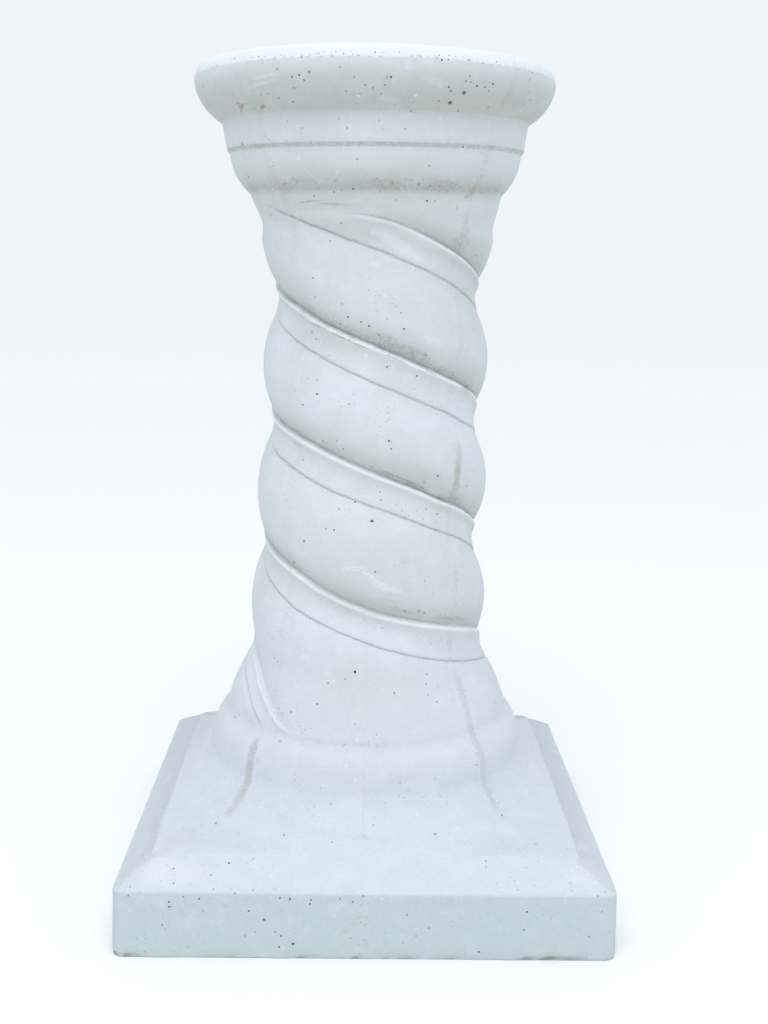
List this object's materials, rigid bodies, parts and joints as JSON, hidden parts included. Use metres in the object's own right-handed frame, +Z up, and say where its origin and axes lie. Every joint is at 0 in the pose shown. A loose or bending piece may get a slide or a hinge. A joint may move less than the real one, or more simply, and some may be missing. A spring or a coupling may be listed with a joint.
{
  "type": "twisted column",
  "caption": "Cast concrete garden column with a square plinth, a twisted shaft and a moulded round top, made to stand and carry a pot or ornament.",
  "frame": {"origin": "middle of the plinth's underside, on the ground", "axes": "+Z up the column, -Y towards the front face of the plinth, +X to the right of it"},
  "size_m": [0.4, 0.4, 0.7],
  "materials": {
    "concrete": "white cast concrete, matt, with air-bubble pits, sandy mould seams and grey dirt in the creases"
  },
  "bodies": {
    "root": {"twisted_column": "concrete"}
  },
  "joints": []
}
